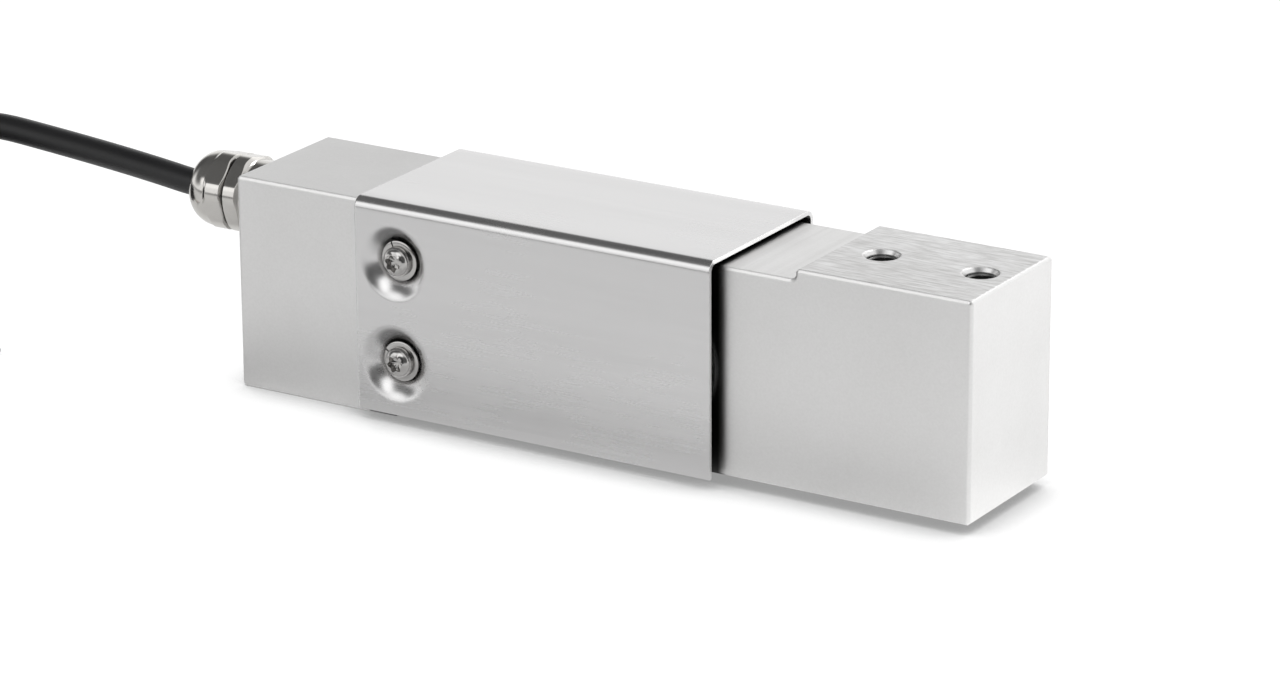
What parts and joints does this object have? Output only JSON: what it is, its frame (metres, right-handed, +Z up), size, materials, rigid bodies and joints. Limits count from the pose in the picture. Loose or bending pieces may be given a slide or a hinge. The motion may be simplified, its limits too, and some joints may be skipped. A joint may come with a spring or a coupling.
{
  "type": "strain gauge load cell",
  "caption": "Single point load cell: a stainless bar with a hidden double bore flexure, stepped mounting pads, a folded sheet cover and a cable in a hexagonal gland.",
  "frame": {"origin": "middle of the fixed end's two foot bolts, on the foot pad's face", "axes": "+X along the bar from the fixed end to the live end, +Z up towards the load, Y across the bar"},
  "size_m": [0.3518, 0.0531, 0.0417],
  "materials": {
    "bar_steel": "satin machined stainless steel with bright broken edges",
    "sheet_steel": "stainless sheet brushed along its length",
    "screw_steel": "bright stainless fasteners",
    "plated_gland": "bright nickel plate",
    "gauge_foil": "amber polyimide film",
    "board_laminate": "green solder mask",
    "resistor_body": "black chips",
    "copper_lead": "enamelled copper",
    "seal_rubber": "matt black",
    "clamp_plastic": "natural nylon",
    "cable_jacket": "black jacket with a soft sheen",
    "tie_plastic": "black nylon",
    "core_insulation_red": "red insulation",
    "core_insulation_black": "black insulation",
    "core_insulation_green": "green insulation",
    "core_insulation_white": "white insulation",
    "core_insulation_clear": "translucent sleeve over the screen's drain wire",
    "tinned_ferrule": "tinned copper"
  },
  "bodies": {
    "root": {"spring_body": "bar_steel", "protective_cover": "sheet_steel", "cover_screws": "screw_steel", "screw_washers": "screw_steel", "front_sealing_plate": "sheet_steel", "rear_sealing_plate": "sheet_steel", "gauge_upper_fixed": "gauge_foil", "gauge_lower_fixed": "gauge_foil", "gauge_upper_live": "gauge_foil", "gauge_lower_live": "gauge_foil", "bridge_board": "board_laminate", "board_resistors": "resistor_body", "gauge_leads": "copper_lead", "inner_cores": "core_insulation_white", "gland_body": "plated_gland", "gland_o_ring": "seal_rubber", "gland_seal": "seal_rubber", "clamp_ring": "clamp_plastic", "gland_cap_nut": "plated_gland", "cable_entry": "cable_jacket", "cable_run": "cable_jacket", "cable_hank": "cable_jacket", "cable_ties": "tie_plastic", "cable_tail": "cable_jacket", "core_red": "core_insulation_red", "core_black": "core_insulation_black", "core_green": "core_insulation_green", "core_white": "core_insulation_white", "core_screen": "core_insulation_clear", "core_ferrules": "tinned_ferrule"}
  },
  "joints": []
}
